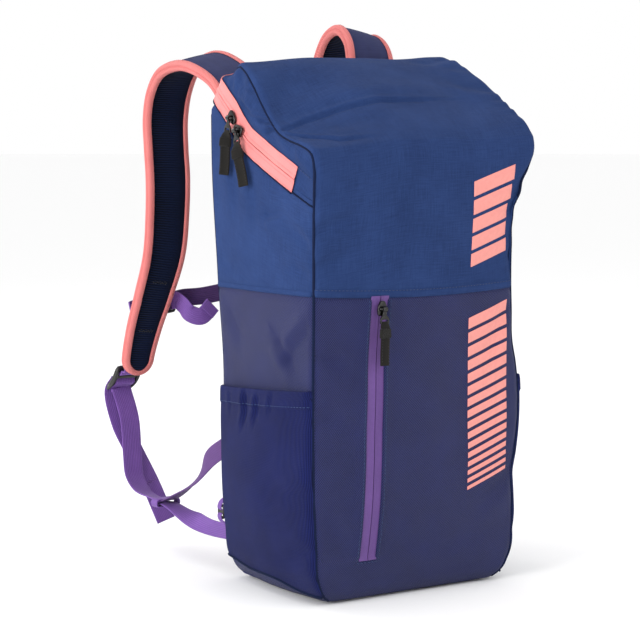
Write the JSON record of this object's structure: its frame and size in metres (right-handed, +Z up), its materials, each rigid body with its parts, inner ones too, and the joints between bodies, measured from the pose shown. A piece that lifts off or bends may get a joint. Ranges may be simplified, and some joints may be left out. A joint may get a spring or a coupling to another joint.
{
  "type": "racket backpack",
  "caption": "Soft rectangular racket backpack with a sloping zipped lid, padded shoulder straps, chest strap, side pockets and a zipped front pocket.",
  "frame": {"origin": "middle of the flat underside, on the surface that the bag stands on", "axes": "+Z up, -Y out of the front, +Y out of the back where the shoulder straps are, +X to the right seen from the front"},
  "size_m": [0.3008, 0.4515, 0.5984],
  "materials": {
    "upper_cloth": "matte",
    "lower_cloth": "satin",
    "pocket_cloth": "matte",
    "pink_zip": "matte",
    "pink_binding": "matte",
    "purple_zip": "matte",
    "purple_webbing": "matte",
    "strap_mesh": "matte",
    "black_plastic": "satin",
    "black_metal": "gloss",
    "black_webbing": "matte",
    "lining": "satin",
    "board": "satin"
  },
  "bodies": {
    "bag": {"base_panel": "lower_cloth", "front_lower_panel": "lower_cloth", "front_upper_panel": "upper_cloth", "back_panel": "lower_cloth", "side_lower_panel_left": "lower_cloth", "side_lower_panel_right": "lower_cloth", "side_upper_panel_left": "upper_cloth", "side_upper_panel_right": "upper_cloth", "corner_piping_left": "upper_cloth", "corner_piping_right": "upper_cloth", "side_pocket_left": "pocket_cloth", "side_pocket_right": "pocket_cloth", "main_zip_lower": "pink_zip", "front_zip_left": "purple_zip", "front_zip_right": "purple_zip", "front_pocket_lining": "lining", "back_pad_left": "strap_mesh", "back_pad_right": "strap_mesh", "lumbar_pad": "strap_mesh", "strap_yoke": "upper_cloth", "haul_loop": "black_webbing", "frame_sheet": "lining", "base_board": "board", "racket_divider": "lining", "strap_webbing_left": "purple_webbing", "webbing_tail_left": "purple_webbing", "webbing_keeper_left": "purple_webbing", "anchor_webbing_lower_left": "purple_webbing", "anchor_webbing_upper_left": "purple_webbing", "strap_webbing_right": "purple_webbing", "webbing_tail_right": "purple_webbing", "webbing_keeper_right": "purple_webbing", "anchor_webbing_lower_right": "purple_webbing", "anchor_webbing_upper_right": "purple_webbing"},
    "lid": {"lid_top_panel": "upper_cloth", "lid_side_panel_left": "upper_cloth", "lid_side_panel_right": "upper_cloth", "main_zip_upper": "pink_zip"},
    "front_zip_slider": {"front_zip_slider": "black_metal"},
    "front_zip_pull": {"front_zip_pull_link": "black_metal", "front_zip_pull_tab": "black_webbing"},
    "main_zip_front_slider": {"main_zip_front_slider": "black_metal"},
    "main_zip_front_pull": {"main_zip_front_pull_link": "black_metal", "main_zip_front_pull_tab": "black_webbing"},
    "main_zip_rear_slider": {"main_zip_rear_slider": "black_metal"},
    "main_zip_rear_pull": {"main_zip_rear_pull_link": "black_metal", "main_zip_rear_pull_tab": "black_webbing"},
    "straps": {"shoulder_strap_left": "strap_mesh", "shoulder_strap_right": "strap_mesh", "strap_binding_left": "pink_binding", "strap_binding_right": "pink_binding", "lock_tab_left": "purple_webbing", "lock_tab_right": "purple_webbing", "chest_buckle_female": "black_plastic", "chest_tab": "purple_webbing", "chest_webbing": "purple_webbing"},
    "chest_buckle_male": {"chest_buckle_male": "black_plastic", "chest_webbing_tail": "purple_webbing"},
    "ladder_lock_left": {"ladder_lock_left": "black_plastic"},
    "ladder_lock_right": {"ladder_lock_right": "black_plastic"}
  },
  "joints": [
    {"name": "lid_open", "type": "hinge", "parent": "bag", "child": "lid", "pos_m": [0, -0.104, 0.46], "axis": [1, 0, 0], "range_deg": [0, 75]},
    {"name": "front_zip_run", "type": "slide", "parent": "bag", "child": "front_zip_slider", "axis": [-0.0377, 0, -0.9993], "range_m": [0, 0.23]},
    {"name": "front_zip_pull_lift", "type": "hinge", "parent": "front_zip_slider", "child": "front_zip_pull", "pos_m": [-0.0573, -0.1079, 0.30299], "axis": [-1, 0, 0], "range_deg": [0, 120]},
    {"name": "main_zip_front_run", "type": "slide", "parent": "bag", "child": "main_zip_front_slider", "axis": [0, -0.89, -0.456], "range_m": [0, 0.095]},
    {"name": "main_zip_front_pull_lift", "type": "hinge", "parent": "main_zip_front_slider", "child": "main_zip_front_pull", "pos_m": [-0.15105, 0.02615, 0.48315], "axis": [0, 0.9578, -0.2873], "range_deg": [0, 95]},
    {"name": "main_zip_rear_run", "type": "slide", "parent": "bag", "child": "main_zip_rear_slider", "axis": [0, 0.7234, 0.6904], "range_m": [0, 0.022]},
    {"name": "main_zip_rear_pull_lift", "type": "hinge", "parent": "main_zip_rear_slider", "child": "main_zip_rear_pull", "pos_m": [-0.1502, 0.03966, 0.49593], "axis": [0, 0.9889, 0.1483], "range_deg": [0, 95]},
    {"name": "straps_swing", "type": "hinge", "parent": "bag", "child": "straps", "pos_m": [0, 0.103, 0.489], "axis": [1, 0, 0], "range_deg": [-15, 5], "stiffness_Nm_per_rad": 4, "springref_deg": 2.29, "deforming": ["strap_webbing_left", "strap_webbing_right", "webbing_tail_left", "webbing_tail_right"]},
    {"name": "chest_buckle_release", "type": "slide", "parent": "straps", "child": "chest_buckle_male", "axis": [0.9151, -0.3505, 0.1996], "range_m": [0, 0.03], "deforming": ["chest_webbing"]},
    {"name": "ladder_lock_left_tilt", "type": "hinge", "parent": "straps", "child": "ladder_lock_left", "pos_m": [-0.123, 0.30319, 0.20481], "axis": [1, 0, 0], "range_deg": [0, 15]},
    {"name": "ladder_lock_right_tilt", "type": "hinge", "parent": "straps", "child": "ladder_lock_right", "pos_m": [0.108, 0.25558, 0.21032], "axis": [1, 0, 0], "range_deg": [0, 15]}
  ]
}
